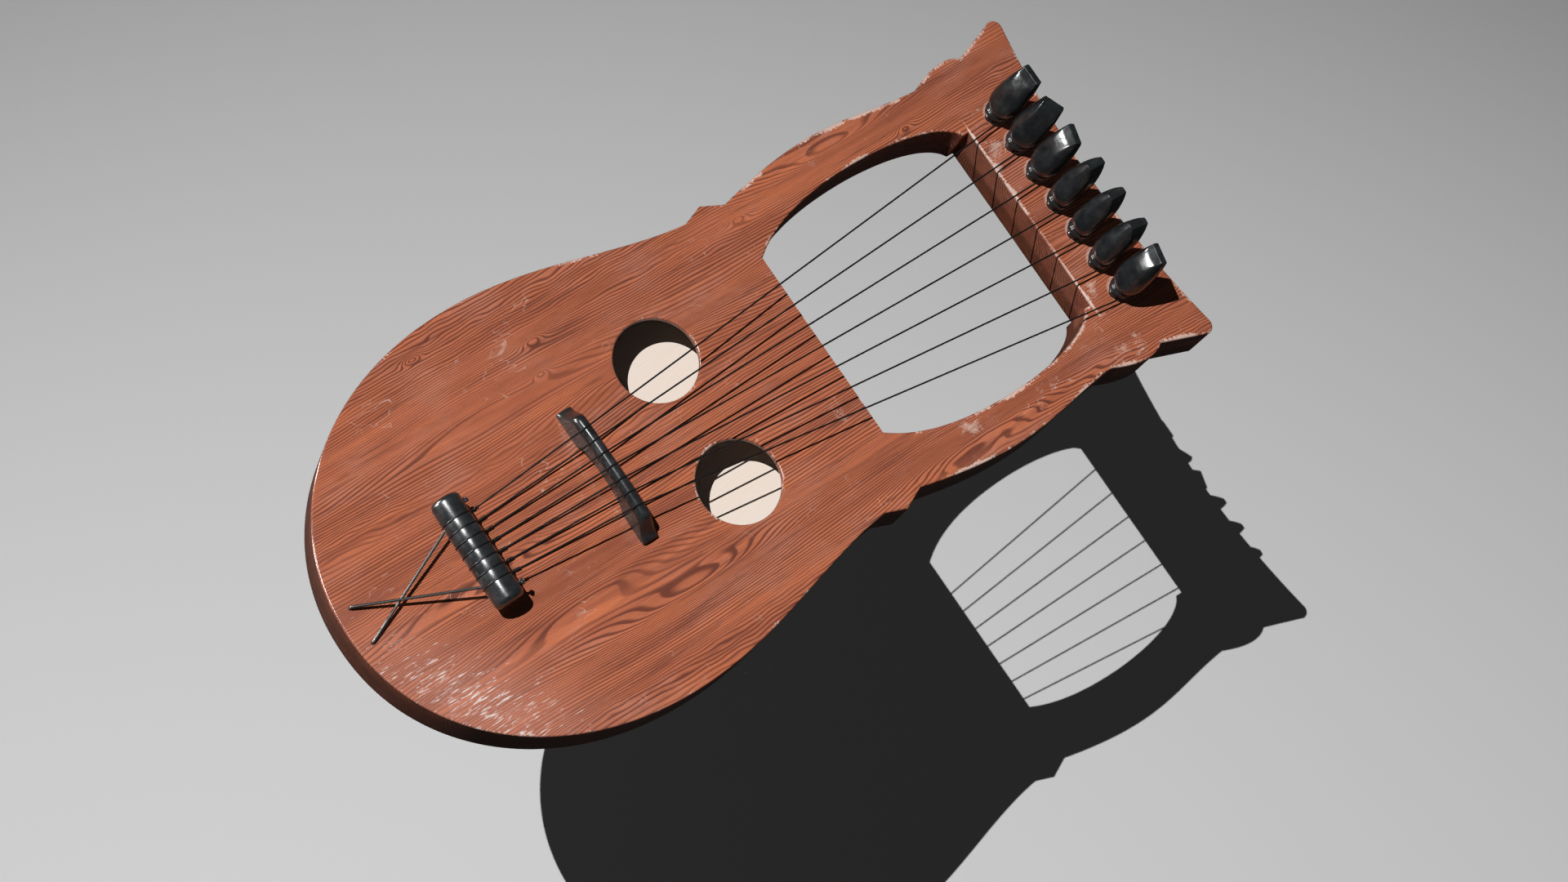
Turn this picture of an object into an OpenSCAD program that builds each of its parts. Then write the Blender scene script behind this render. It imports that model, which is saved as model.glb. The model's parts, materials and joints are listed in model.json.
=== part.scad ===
// Seven-string lyre: a carved sound box with two arms, a glued soundboard, a tenoned
// yoke with seven leaning tuning pegs, a bridge, a tailpiece and two tail cords.
// The back lies on z = 0, +Z points out of the soundboard and +Y towards the yoke.
// The origin is under the middle of the instrument's bounding box.

/* [Body] */
// Length from the base end to the ear tips
overall_l = 580; // [560:5:600]
// Width of the lower bout
bout_w = 273; // [260:1:286]
// Thickness of the sound box, arms and yoke
body_t = 38; // [34:0.5:44]
// Thickness of the sound box's floor
floor_t = 3; // [2.5:0.5:6]
// Thickness of the sound box's side walls
wall_t = 8; // [6:0.5:12]
// Thickness of the soundboard
board_t = 3.5; // [3:0.5:5]
// Radius of each sound hole
hole_r = 27; // [22:0.5:30]
// Distance of each sound hole's centre from the centre line
hole_x = 44.6; // [42:0.2:50]

/* [Strings] */
// Radius of a string
string_r = 0.55; // [0.3:0.05:0.6]
// Spacing of the strings at the tailpiece
tail_pitch = 7.2; // [6:0.1:8]
// Spacing of the strings on the bridge
bridge_pitch = 9.2; // [8:0.1:10]
// Radius of a tail cord
cord_r = 0.9; // [0.6:0.1:1]

/* [Bridge and tailpiece] */
// Height of the bridge's crest above the soundboard
bridge_h = 24.4; // [20:0.2:28]
// Length of the bridge over its feet
bridge_l = 94; // [88:1:100]
// Radius of the tailpiece
tail_r = 9.7; // [9:0.1:10.5]
// Length of the tailpiece
tail_l = 73; // [70:1:80]
// Height of the tailpiece's axis above the soundboard
tail_h = 16; // [14:0.5:20]

/* [Pegs] */
// Spacing of the pegs along the yoke
peg_pitch = 23; // [22.6:0.1:24]
// Angle that each peg leans towards the ears
peg_lean = 14; // [10:0.5:14]
// Radius of the ball at the foot of a peg's head
ball_r = 7.75; // [7.6:0.05:7.8]
// Length of a peg above the yoke, along its axis
peg_top = 54; // [50:0.5:58]
// Play of the peg's shaft in its hole, on the radius
shaft_play = 0.05; // [0.02:0.01:0.1]

/* [Hidden] */
string_count = 7;
$fn = 48;
wood = "sienna";
pale_wood = "wheat";
ebony = [0.16, 0.17, 0.18];
steel = [0.35, 0.36, 0.37];
gut = [0.25, 0.24, 0.24];

// Places along the instrument, counted from its base end
base_y = -overall_l / 2;
top_y = overall_l / 2;
bout_l = 162;
bout_y = base_y + bout_l;
horn_y = base_y + 319;
window_y = base_y + 348;
arm_y = base_y + 436;
yoke_y = base_y + 516;
ear_y = base_y + 541.5;
cord_y = base_y + 10;
tail_y = base_y + 87.5;
bridge_y = base_y + 183.8;
hole_y = base_y + 252;
peg_y = base_y + 535.2;

// Sound box and arms
bout_round = 2.08; // exponent of the bout's curve: 2 is an ellipse
waist_x = 108.4;
horn_x = 113.6;
notch_x = 106.7;
window_x = 65.5;
arm_in_x = 87.8;
shoulder_x = 67.6;
yoke_x = 77;
ear_x = 123;
chamber_top_y = window_y - 18;
block_w = 56;
block_l = 20;
eps = 1;

// Yoke joints
tenon_l = 12;
tenon_w = 26;
tenon_t = 18;
tenon_y = yoke_y + 14;
dowel_r = 2;
dowel_l = 30;

// Pegs, measured along the axis from the yoke's front face
shaft_r = 4.2;
shaft_tip_r = 3.55;
shaft_l = 36.5;
ball_s = 7.9;
slope_r = 9;
slope_s = 8.6;
head_s = 10.4;
neck_r = 7;
head_r = 10.8;
head_t = 17;
shoulder_s = peg_top - 4.8;
shoulder_t = 9.4;
bulge_s = peg_top - 13;
bulge_t = 14.7;
tip_r = 7.2;
tip_t = 4.4;
coil_s = 5;
coil_r = 6.6;
coil_gap = 0.15;
coil_wall = 2 * string_r + 0.1;
groove_s = 4;
groove_l = coil_s + 2 * string_r + 0.1 - groove_s;
groove_r = coil_r - coil_wall / 2 - coil_gap;
peg_turn = [0, 29, -18, 90, 90, 84, -15]; // where each head happens to stand

// Tail cords and knots
cord_x = 12;
cord_knot_x = 29.5;
knot_r = 2;
anchor_r = 3;
recess_r = 5;
recess_l = 7;
string_knot_r = 1.3;
kink = 1.15; // size of the bead where a string or cord turns, counted in its own radius
touch = 0.05;

front_z = body_t;
board_z = body_t - board_t;
tail_z = front_z + tail_h;
crest_lean = -2.8;
crest_crown = 1.6;
crest_x = 34.5;
middle = (string_count - 1) / 2;

// ---------- Curves ----------

// Cubic curve from p[0] to p[3], without its first point
function curve(p, n) = [
    for (i = [1:n]) let (t = i / n)
        pow(1 - t, 3) * p[0] + 3 * pow(1 - t, 2) * t * p[1]
        + 3 * (1 - t) * t * t * p[2] + pow(t, 3) * p[3]
];

// Closed outline from its right half, which runs from the lower to the upper end
function both_sides(half) = concat(
    half, [for (i = [len(half) - 1:-1:0]) if (half[i][0] > 0) [-half[i][0], half[i][1]]]
);

// Right half of the bout and waist, drawn in from the outside by inset
function bout_half(inset, n) = concat(
    [for (i = [0:n]) let (a = 90 * i / n) [
        (bout_w / 2 - inset) * pow(sin(a), 2 / bout_round),
        bout_y - (bout_l - inset) * pow(cos(a), 2 / bout_round)
    ]],
    curve([
        [bout_w / 2 - inset, bout_y],
        [bout_w / 2 - inset, bout_y + 60],
        [waist_x - inset + 3.6, bout_y + 110],
        [waist_x - inset, horn_y]
    ], 10)
);

// Right half of the whole instrument: bout, horn, arm, bump, ear and top edge
function outer_half() = concat(
    bout_half(0, 18),
    [[horn_x, horn_y + 13.8], [notch_x, window_y]],
    curve([[notch_x, window_y], [127, arm_y - 5], [111.5, arm_y + 17],
        [108.6, yoke_y - 14]], 10),
    curve([[108.6, yoke_y - 14], [114, yoke_y - 2], [120, yoke_y + 16],
        [112, ear_y]], 7),
    curve([[ear_x, top_y - 8], [ear_x + 1.5, top_y - 3], [ear_x - 2, top_y],
        [ear_x - 6, top_y]], 4),
    curve([[ear_x - 6, top_y], [95, top_y - 4], [50, top_y - 11],
        [0, top_y - 11]], 8)
);

// Right half of the hand window, up to the yoke
function window_half() = concat(
    [[0, window_y], [window_x, window_y]],
    curve([[window_x, window_y], [84, window_y + 24], [87.5, window_y + 60],
        [arm_in_x, window_y + 88]], 8),
    curve([[arm_in_x, window_y + 88], [arm_in_x, yoke_y - 46], [81.2, yoke_y - 12],
        [shoulder_x, yoke_y - 5]], 8),
    [[shoulder_x, yoke_y], [0, yoke_y]]
);

// Right half of the chamber inside the sound box
function chamber_half() = concat(
    bout_half(wall_t, 14),
    curve([[waist_x - wall_t, horn_y], [waist_x - wall_t, chamber_top_y],
        [waist_x - wall_t - 4, chamber_top_y],
        [waist_x - wall_t - 16, chamber_top_y]], 4),
    [[0, chamber_top_y]]
);

// ---------- Places on the strings ----------

function peg_x(i) = (i - middle) * peg_pitch;
function crest_z(x) = front_z + bridge_h - crest_crown * pow(x / crest_x, 2);

// Point at distance s along peg i's axis, moved sideways by x
function on_peg(i, s, x = 0) = [
    peg_x(i) + x, peg_y + s * sin(peg_lean), front_z + s * cos(peg_lean)
];

function tail_end(i) = [
    (i - middle) * tail_pitch,
    tail_y + tail_r + 2 * string_r + string_knot_r + 2 * touch,
    tail_z
];

function on_crest(i) = let (x = (i - middle) * bridge_pitch) [
    x, bridge_y + crest_lean, crest_z(x) - string_r / 2
];

// The string reaches its turn round the peg's groove on the right side
function peg_end(i) = on_peg(i, coil_s + string_r, coil_r);

// side is -1 for the cord that starts at the left end of the tailpiece and 1 for the right;
// the right cord crosses over the left one
function cord_knot(side) = [
    side * cord_knot_x, tail_y + tail_r + knot_r + touch, tail_z + (side > 0 ? 2.5 : -1.5)
];
function cord_bend(side) = [-side * cord_x, cord_y, front_z + (side > 0 ? 3.6 : 1.8)];

// ---------- Shared shapes ----------

module rod(from, to, r) {
    d = to - from;
    translate(from)
        rotate([0, acos(d[2] / norm(d)), atan2(d[1], d[0])])
            cylinder(h = norm(d), r = r);
}

module at_peg(i, s = 0) {
    translate(on_peg(i, s)) rotate([-peg_lean, 0, 0]) children();
}

module whole_plan(h) {
    linear_extrude(h) polygon(both_sides(outer_half()));
}

module tenons() {
    for (side = [-1, 1])
        translate([side * (yoke_x + tenon_l / 2), tenon_y + tenon_w / 2, body_t / 2])
            cube([tenon_l, tenon_w, tenon_t], center = true);
}

module dowel_shafts() {
    for (side = [-1, 1], y = [tenon_y + 6, tenon_y + tenon_w - 6])
        translate([side * (yoke_x + tenon_l / 2), y, 0]) cylinder(h = dowel_l, r = dowel_r);
}

module cord_holes(r) {
    for (side = [-1, 1])
        translate([side * cord_x, cord_y, -eps]) cylinder(h = body_t + 2 * eps, r = r);
}

// ---------- Wooden parts ----------

module chamber() {
    difference() {
        translate([0, 0, floor_t]) linear_extrude(body_t) polygon(both_sides(chamber_half()));
        translate([-block_w / 2, base_y - eps, 0]) cube([block_w, block_l + eps, body_t * 2]);
    }
}

module body() {
    color(wood) difference() {
        whole_plan(body_t);
        translate([-bout_w, base_y - eps, board_z]) cube([bout_w * 2, window_y - base_y + eps, body_t]);
        translate([0, 0, -eps]) linear_extrude(body_t + 2 * eps) polygon(both_sides(window_half()));
        translate([-yoke_x, yoke_y, -eps]) cube([yoke_x * 2, top_y, body_t + 2 * eps]);
        chamber();
        tenons();
        dowel_shafts();
        cord_holes(cord_r);
        for (side = [-1, 1])
            translate([side * cord_x, cord_y, -eps]) cylinder(h = recess_l + eps, r = recess_r);
    }
}

module soundboard() {
    color(wood) difference() {
        intersection() {
            translate([0, 0, board_z]) whole_plan(board_t);
            translate([-bout_w, base_y - eps, 0]) cube([bout_w * 2, window_y - base_y + eps, body_t * 2]);
        }
        for (side = [-1, 1])
            translate([side * hole_x, hole_y, 0]) cylinder(h = body_t * 2, r = hole_r, $fn = 96);
        cord_holes(cord_r);
    }
}

module yoke() {
    color(wood) difference() {
        union() {
            intersection() {
                whole_plan(body_t);
                translate([-yoke_x, yoke_y, 0]) cube([yoke_x * 2, top_y, body_t]);
            }
            tenons();
        }
        for (i = [0:string_count - 1]) at_peg(i) peg_shaft(shaft_play, shaft_l + 8, 4);
        dowel_shafts();
    }
}

module yoke_dowels() {
    color(pale_wood) dowel_shafts();
}

module brace(y, l, w, h) {
    translate([-l / 2, y - w / 2, board_z - h]) cube([l, w, h]);
}

module upper_brace() {
    color(pale_wood) brace(hole_y + hole_r + 18, 168, 8, 9);
}

module bridge_brace() {
    color(pale_wood) brace(bridge_y, 210, 10, 10);
}

// ---------- Bridge and tailpiece ----------

module bridge() {
    foot_x = bridge_l / 2;
    half = concat(
        [[0, 9]],
        curve([[0, 9], [14, 9], [20, 6], [24, 0]], 6),
        [[foot_x, 0], [foot_x, 5.5], [crest_x + 2.5, bridge_h - crest_crown - 2.4]],
        [for (k = [4:-1:0]) let (x = crest_x * k / 4) [x, crest_z(x) - front_z]]
    );
    side = [
        [-5.3, 0], [5.3, 0], [4.7, 9], [3.6, 18], [2.4, bridge_h - 2.4], [0.6, bridge_h + 1],
        [-2.6, bridge_h + 1], [-4.2, bridge_h - 2.4], [-5, 18]
    ];
    color(ebony) difference() {
        translate([0, bridge_y, front_z]) intersection() {
            rotate([90, 0, 0]) linear_extrude(20, center = true) polygon(both_sides(half));
            rotate([90, 0, 90]) linear_extrude(bridge_l + 2, center = true) polygon(side);
        }
        for (i = [0:string_count - 1]) {
            rod(on_crest(i), tail_end(i), string_r + touch);
            rod(on_crest(i), peg_end(i), string_r + touch);
            translate(on_crest(i)) sphere(kink * string_r + touch, $fn = 16);
        }
    }
}

module tailpiece() {
    end_x = tail_l / 2;
    color(ebony) difference() {
        translate([0, tail_y, tail_z]) rotate([0, 90, 0]) rotate_extrude() polygon([
            [0, -end_x], [tail_r - 3.5, -end_x], [tail_r - 1, -end_x + 1.4], [tail_r, -end_x + 4.5],
            [tail_r, end_x - 4.5], [tail_r - 1, end_x - 1.4], [tail_r - 3.5, end_x], [0, end_x]
        ]);
        for (side = [-1, 1]) rod(cord_knot(side), cord_bend(side), cord_r);
    }
}

// ---------- Cords ----------

module tail_cord(side) {
    bend = cord_bend(side);
    color(gut) {
        rod(cord_knot(side), bend, cord_r);
        translate(bend) sphere(kink * cord_r, $fn = 24);
        translate([bend[0], bend[1], recess_l / 2]) cylinder(h = bend[2] - recess_l / 2, r = cord_r);
    }
}

module tail_cord_left() tail_cord(-1);

module tail_cord_right() tail_cord(1);

module cord_knots() {
    color(gut) difference() {
        for (side = [-1, 1]) {
            translate(cord_knot(side)) sphere(knot_r);
            translate([side * cord_x, cord_y, recess_l / 2]) sphere(anchor_r);
        }
        for (side = [-1, 1]) tail_cord(side);
    }
}

// ---------- Strings ----------

module lyre_string(i) {
    color(steel) {
        translate([tail_end(i)[0], tail_y, tail_z]) rotate([0, 90, 0])
            rotate_extrude() translate([tail_r + string_r + touch, 0]) circle(string_r, $fn = 16);
        translate(tail_end(i)) sphere(string_knot_r, $fn = 24);
        rod(tail_end(i), on_crest(i), string_r);
        translate(on_crest(i)) sphere(kink * string_r, $fn = 16);
        rod(on_crest(i), peg_end(i), string_r);
        at_peg(i, coil_s) rotate_extrude()
            translate([coil_r - coil_wall / 2, 0]) square([coil_wall, 2 * string_r]);
    }
}

// ---------- Pegs ----------

// Tapered shaft, made larger by play and longer by over at the front
module peg_shaft(play, l, over) {
    taper = (shaft_r - shaft_tip_r) / shaft_l;
    translate([0, 0, -l])
        cylinder(h = l + over, r1 = shaft_r - taper * l + play, r2 = shaft_r + taper * over + play);
}

// The head: round, and clipped from two sides to a chisel
module peg_head() {
    intersection() {
        rotate_extrude() polygon(concat(
            [[0, head_s], [neck_r, head_s]],
            curve([[neck_r, head_s], [8.8, head_s + 2], [head_r, head_s + 5], [head_r, head_s + 12]], 6),
            curve([[head_r, head_s + 12], [head_r - 0.2, head_s + 25], [tip_r + 1.2, peg_top - 6],
                [tip_r, peg_top]], 5),
            [[0, peg_top]]
        ));
        rotate([90, 0, 0]) linear_extrude(30, center = true) polygon([
            [-tip_t / 2, peg_top], [-shoulder_t / 2, shoulder_s], [-bulge_t / 2, bulge_s],
            [-head_t / 2, head_s + 22], [-head_t / 2, head_s], [head_t / 2, head_s],
            [head_t / 2, head_s + 22], [bulge_t / 2, bulge_s], [shoulder_t / 2, shoulder_s],
            [tip_t / 2, peg_top]
        ]);
    }
}

// The ball, with a sloping shoulder under the head and a groove for the string
module peg_ball() {
    difference() {
        intersection() {
            translate([0, 0, ball_s]) sphere(ball_r);
            rotate_extrude() polygon([
                [0, -eps], [slope_r, -eps], [slope_r, slope_s],
                [neck_r - 0.15, head_s + 0.05], [0, head_s + 0.05]
            ]);
        }
        translate([0, 0, groove_s]) rotate_extrude() translate([groove_r, 0]) square([ball_r, groove_l]);
    }
}

module peg(i) {
    color(ebony) at_peg(i) rotate([0, 0, peg_turn[i] + 90]) {
        peg_shaft(0, shaft_l, 2);
        peg_ball();
        peg_head();
    }
}

body();
soundboard();
yoke();
yoke_dowels();
upper_brace();
bridge_brace();
bridge();
tailpiece();
tail_cord_left();
tail_cord_right();
cord_knots();
for (i = [0:string_count - 1]) {
    lyre_string(i);
    peg(i);
}
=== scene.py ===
import json
import math

import bpy
import bmesh
import numpy as np
from mathutils import Matrix, Vector
from mathutils.geometry import delaunay_2d_cdt


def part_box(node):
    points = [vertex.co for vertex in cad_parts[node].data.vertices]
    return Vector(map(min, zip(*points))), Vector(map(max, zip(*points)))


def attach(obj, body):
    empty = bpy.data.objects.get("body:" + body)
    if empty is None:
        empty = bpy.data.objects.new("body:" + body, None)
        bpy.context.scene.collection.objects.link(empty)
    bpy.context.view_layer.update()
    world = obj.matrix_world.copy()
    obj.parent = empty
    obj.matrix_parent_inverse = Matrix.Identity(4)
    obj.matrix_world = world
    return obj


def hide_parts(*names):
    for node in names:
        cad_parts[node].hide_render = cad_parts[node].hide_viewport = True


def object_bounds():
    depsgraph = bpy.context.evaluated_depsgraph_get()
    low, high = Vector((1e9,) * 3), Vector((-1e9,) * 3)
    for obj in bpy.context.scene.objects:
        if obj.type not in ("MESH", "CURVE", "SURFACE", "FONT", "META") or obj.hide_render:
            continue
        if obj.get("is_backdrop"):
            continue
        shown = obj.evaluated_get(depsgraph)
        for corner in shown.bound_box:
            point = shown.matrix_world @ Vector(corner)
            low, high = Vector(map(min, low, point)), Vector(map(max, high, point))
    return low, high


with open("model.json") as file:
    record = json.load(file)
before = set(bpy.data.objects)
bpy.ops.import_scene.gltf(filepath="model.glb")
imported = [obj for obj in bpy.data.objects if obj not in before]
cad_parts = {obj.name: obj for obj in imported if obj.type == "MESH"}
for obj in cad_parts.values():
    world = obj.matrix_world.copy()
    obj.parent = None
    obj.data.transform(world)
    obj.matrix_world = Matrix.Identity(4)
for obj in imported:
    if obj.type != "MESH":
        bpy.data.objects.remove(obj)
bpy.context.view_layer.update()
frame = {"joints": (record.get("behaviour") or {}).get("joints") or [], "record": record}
LYRE = "lyre"
MM = 0.001
scene = bpy.context.scene

# ---------- Sizes, in millimetres, taken from the frame ----------

body_low, body_high = (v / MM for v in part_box("body"))
board_low, board_high = (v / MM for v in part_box("soundboard"))
yoke_low, _ = (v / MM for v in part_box("yoke"))
tail_low, tail_high = (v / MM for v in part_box("tailpiece"))
bridge_low, bridge_high = (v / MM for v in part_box("bridge"))
openings = {o["name"]: o["box_m"] for o in frame["record"]["physics"]["openings"]}
hole_low, hole_high = (Vector(c) / MM for c in openings["right_sound_hole"])

base_y, top_y = body_low.y, body_high.y
front_z = body_high.z
bout_w = body_high.x - body_low.x
board_z = board_low.z
window_y = board_high.y
yoke_y = yoke_low.y
bout_l = 162
bout_y = base_y + bout_l
horn_y = base_y + 319
arm_y = base_y + 436
ear_y = base_y + 541.5
hole_x = (hole_low.x + hole_high.x) / 2
hole_y = (hole_low.y + hole_high.y) / 2
hole_r = 27
bout_round = 2.08
waist_x = 108.4
horn_x = 113.6
notch_x = 106.7
window_x = 65.5
arm_in_x = 87.8
shoulder_x = 67.6
yoke_x = 77
ear_x = 123
wall_t = 8
floor_t = 3
block_w = 56
block_l = 20
chamber_top_y = window_y - 18
cord_x = 12
cord_y = base_y + 10
cord_r = 0.9
recess_r = 5
recess_l = 7
cord_knot_x = 29.5
peg_pitch = 23
string_r = 0.55
string_count = 7
middle = (string_count - 1) / 2


# ---------- Curves in the plane ----------

def curve(p0, p1, p2, p3, n):
    """Points of a cubic curve, without its first one."""
    points = []
    for i in range(1, n + 1):
        t = i / n
        a, b, c, d = (1 - t) ** 3, 3 * (1 - t) ** 2 * t, 3 * (1 - t) * t * t, t ** 3
        points.append(tuple(a * p0[k] + b * p1[k] + c * p2[k] + d * p3[k] for k in (0, 1)))
    return points


def bout_half(inset, n):
    """Right half of the bout and waist, drawn in from the outside by inset."""
    wide, tall, power = bout_w / 2 - inset, bout_l - inset, 2 / bout_round
    points = []
    for i in range(n + 1):
        a = math.pi / 2 * i / n
        points.append((wide * math.sin(a) ** power, bout_y - tall * max(math.cos(a), 0) ** power))
    points += curve((wide, bout_y), (wide, bout_y + 60), (waist_x - inset + 3.6, bout_y + 110),
                    (waist_x - inset, horn_y), n)
    return points


def arm_outer():
    """Right arm's outer edge from the horn's notch to the bump, valley, ear and top middle."""
    points = curve((notch_x, window_y), (127, arm_y - 5), (111.5, arm_y + 17), (108.6, yoke_y - 14), 40)
    points += curve(points[-1], (114, yoke_y - 2), (120, yoke_y + 16), (112, ear_y), 16)
    points += curve((ear_x, top_y - 8), (ear_x + 1.5, top_y - 3), (ear_x - 2, top_y), (ear_x - 6, top_y), 8)
    return points + top_edge()


def top_edge():
    return curve((ear_x - 6, top_y), (95, top_y - 4), (50, top_y - 11), (0, top_y - 11), 40)


def window_edge():
    """Right edge of the hand window, from the soundboard's end up to the yoke."""
    points = [(window_x, window_y)]
    points += curve((window_x, window_y), (84, window_y + 24), (87.5, window_y + 60),
                    (arm_in_x, window_y + 88), 26)
    points += curve(points[-1], (arm_in_x, yoke_y - 46), (81.2, yoke_y - 12), (shoulder_x, yoke_y - 5), 26)
    return points + [(shoulder_x, yoke_y)]


def top_at(x):
    """The top edge's height at x."""
    edge = [(ear_x - 6, top_y)] + top_edge()
    for (x0, y0), (x1, y1) in zip(edge, edge[1:]):
        if x1 <= x <= x0:
            return y0 + (y1 - y0) * (x - x0) / (x1 - x0)
    return edge[-1][1]


def both_sides(half):
    """Closed outline from its right half, which runs from the lower to the upper end."""
    return half + [(-x, y) for x, y in reversed(half) if x > 0]


def horn():
    return [(horn_x - 0.6, horn_y + 12.4), (horn_x, horn_y + 13.8), (horn_x - 0.6, horn_y + 15.2),
            (notch_x, window_y)]


def body_plan():
    right = bout_half(0, 56) + horn() + [p for p in arm_outer() if p[0] > yoke_x or p[1] < yoke_y]
    right += [(yoke_x, top_at(yoke_x)), (yoke_x, yoke_y)] + window_edge()[::-1]
    return both_sides(right)


def board_plan():
    return both_sides(bout_half(0, 56) + horn())


def yoke_plan():
    right = [(yoke_x, yoke_y), (yoke_x, top_at(yoke_x))]
    right += [p for p in top_edge() if p[0] < yoke_x]
    return both_sides(right)


def chamber_plan():
    right = bout_half(wall_t, 40)
    right += curve((waist_x - wall_t, horn_y), (waist_x - wall_t, chamber_top_y),
                   (waist_x - wall_t - 4, chamber_top_y), (waist_x - wall_t - 16, chamber_top_y), 10)
    right = [p for p in right if p[1] > base_y + block_l or p[0] > block_w / 2]
    return both_sides([(block_w / 2, base_y + block_l)] + right)


def circle(x, y, r, n):
    """Clockwise, as a hole's edge runs."""
    return [(x + r * math.cos(a), y + r * math.sin(a)) for a in (-2 * math.pi * i / n for i in range(n))]


# ---------- Slabs with rounded and worn edges ----------

def spread(loop, step):
    """The loop with its long straight stretches divided."""
    points = []
    for a, b in zip(loop, loop[1:] + loop[:1]):
        n = max(1, int(math.dist(a, b) / step))
        points += [(a[0] + (b[0] - a[0]) * i / n, a[1] + (b[1] - a[1]) * i / n) for i in range(n)]
    return points


def inset_loop(loop, depth, tight=None):
    """Each corner moved into the material, which lies to the left of the loop's direction.
    Edges whose middle is tight, such as a glued joint's, hardly move."""
    depths, normals = [], []
    for a, b in zip(loop, loop[1:] + loop[:1]):
        along = (Vector(b) - Vector(a)).normalized()
        normals.append(Vector((-along.y, along.x)))
        joint = tight and tight((a[0] + b[0]) / 2, (a[1] + b[1]) / 2)
        depths.append(depth * (0.08 if joint else 1))
    moved = []
    for i, (x, y) in enumerate(loop):
        n, m, d, e = normals[i - 1], normals[i], depths[i - 1], depths[i]
        turn = n.x * m.y - n.y * m.x
        if abs(turn) > 0.25:
            shift = Vector((d * m.y - e * n.y, e * n.x - d * m.x)) / turn
        else:
            shift = (n + m).normalized() * (d + e) / 2
        if shift.length > 3 * depth:
            shift *= 3 * depth / shift.length
        moved.append((x + shift.x, y + shift.y))
    return moved


def inside(points, loops):
    """Which of the points lie in the region that the loops bound."""
    found = np.zeros(len(points), bool)
    x, y = points[:, 0], points[:, 1]
    for loop in loops:
        c = np.array(loop)
        for (x0, y0), (x1, y1) in zip(c, np.roll(c, -1, 0)):
            if y0 != y1:
                found ^= ((y0 > y) != (y1 > y)) & (x < (x1 - x0) * (y - y0) / (y1 - y0) + x0)
    return found


def edge_distance(points, loops, tight=None):
    """Each point's distance to the nearest loop, tight edges left out."""
    best = np.full(len(points), 1e9)
    for loop in loops:
        a = np.array(loop)
        d = np.roll(a, -1, 0) - a
        for p, v in zip(a, d):
            if tight and tight(*(p + v / 2)):
                continue
            t = np.clip(((points - p) @ v) / max(v @ v, 1e-9), 0, 1)
            best = np.minimum(best, np.hypot(*(points - p - t[:, None] * v).T))
    return best


def cap_points(loops, worn, step, tight):
    """Free points inside a cap: two rows along its edges and a loose grid."""
    free = [p for loop in loops for depth in (worn * 0.35, worn) for p in inset_loop(loop, depth)]
    c = np.array([p for loop in loops for p in loop])
    low, high = c.min(0), c.max(0)
    xs, ys = np.arange(low[0], high[0], step), np.arange(low[1], high[1], step)
    free += [(x, y) for x in xs for y in ys]
    free = np.array(free)
    free = free[inside(free, loops)]
    keep = edge_distance(free, loops) > worn * 0.3
    free = free[keep]
    return free, np.clip(1 - edge_distance(free, loops, tight) / worn, 0, 1)


def slab(name, loops, low, high, round_low, round_high, tight=None, worn=4.5, step=9):
    """A plate over the loops, with rounded edges. Its edge attribute is 1 at an edge and 0 inside."""
    loops = [spread(loop, step / 2) for loop in loops]
    rows = []
    turns = (0, 22.5, 45, 67.5, 90)
    for a in reversed(turns):
        t = math.radians(a)
        rows.append((low + round_low * (1 - math.cos(t)), round_low * (1 - math.sin(t)), 1))
    rows.reverse()
    rows += [(low + round_low + 2.5, 0, 0), (high - round_high - 2.5, 0, 0)]
    for a in reversed(turns):
        t = math.radians(a)
        rows.append((high - round_high * (1 - math.cos(t)), round_high * (1 - math.sin(t)), 1))
    if high - low < round_low + round_high + 5.5:
        del rows[len(turns):len(turns) + 2]
    vertices, faces, edge = [], [], []
    starts = []
    for z, depth, wear in rows:
        starts.append(len(vertices))
        for loop in loops:
            for x, y in inset_loop(loop, depth, tight):
                vertices.append((x, y, z))
                edge.append(wear)
    for a, b in zip(starts, starts[1:]):
        first = 0
        for loop in loops:
            faces += quads(a + first, b + first, len(loop))
            first += len(loop)
    for start, depth, z, up in ((starts[0], rows[0][1], low, False), (starts[-1], rows[-1][1], high, True)):
        rims = [inset_loop(loop, depth, tight) for loop in loops]
        rim = [p for r in rims for p in r]
        links, first = [], 0
        for r in rims:
            links += [(first + i, first + (i + 1) % len(r)) for i in range(len(r))]
            first += len(r)
        free, wear = cap_points(rims, worn, step, tight)
        corners = [Vector(p) for p in rim] + [Vector(p) for p in free]
        found, _, triangles, sources, _, _ = delaunay_2d_cdt(corners, links, [], 0, 1e-5)
        ids = []
        for p, source in zip(found, sources):
            if source and source[0] < len(rim):
                ids.append(start + source[0])
            else:
                ids.append(len(vertices))
                vertices.append((p.x, p.y, z))
                edge.append(wear[source[0] - len(rim)] if source else 1)
        middles = np.array([sum((found[i] for i in t), Vector((0, 0))) / 3 for t in triangles])
        for t, keep in zip(triangles, inside(middles, rims)):
            if keep:
                corner = [ids[i] for i in t]
                faces.append(corner if up else corner[::-1])
    mesh = bpy.data.meshes.new(name)
    mesh.from_pydata([Vector(v) * MM for v in vertices], [], faces)
    attribute = mesh.attributes.new("edge", "FLOAT", "POINT")
    attribute.data.foreach_set("value", np.array(edge, np.float32))
    return finished(name, mesh)


# ---------- Small tools ----------

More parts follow.
